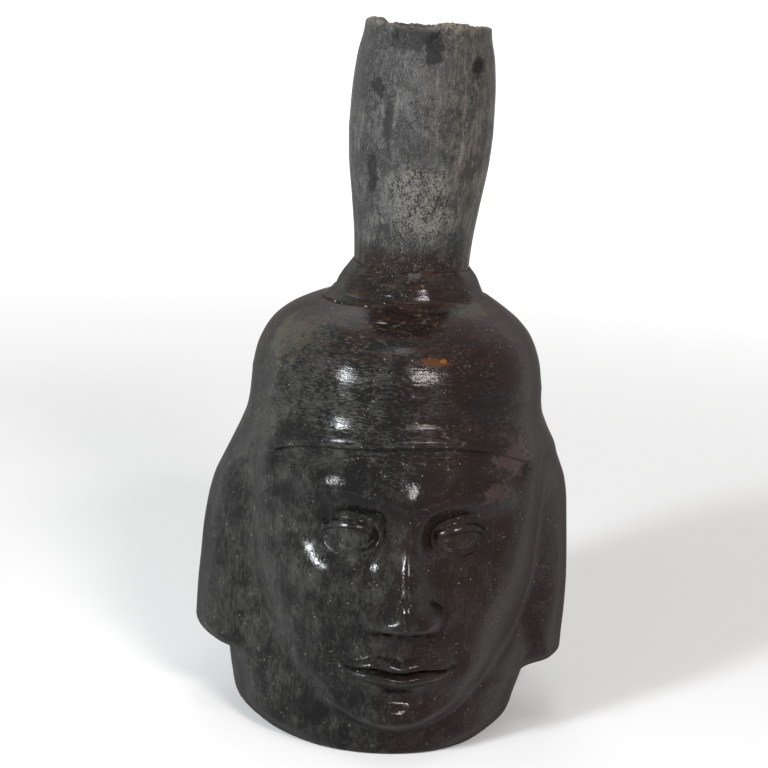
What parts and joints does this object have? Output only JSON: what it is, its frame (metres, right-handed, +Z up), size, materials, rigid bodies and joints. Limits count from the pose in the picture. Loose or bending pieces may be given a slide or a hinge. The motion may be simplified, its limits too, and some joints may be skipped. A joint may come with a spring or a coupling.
{
  "type": "head-shaped vessel",
  "caption": "Dark burnished pottery bottle in the shape of a head with a banded headcloth and side flaps, with a tall swelling neck that opens into its hollow.",
  "frame": {"origin": "centre of the foot's underside, on the surface that the vessel stands on", "axes": "+Z up along the vessel, the face looks along -Y, +X towards the flap at the viewer's right"},
  "size_m": [0.1342, 0.1335, 0.25],
  "materials": {
    "burnished_clay": "near-black fired clay, burnished to a soft gloss with horizontal strokes, with brown patches, dust and small chips",
    "worn_clay": "the same clay worn matt, grey-brown, with vertical streaks, scratches and pale specks"
  },
  "bodies": {
    "root": {"face_shell": "burnished_clay", "rear_shell": "burnished_clay", "side_flap_left": "burnished_clay", "side_flap_right": "burnished_clay", "base_disc": "burnished_clay", "neck_collar": "burnished_clay", "neck": "worn_clay"}
  },
  "joints": []
}
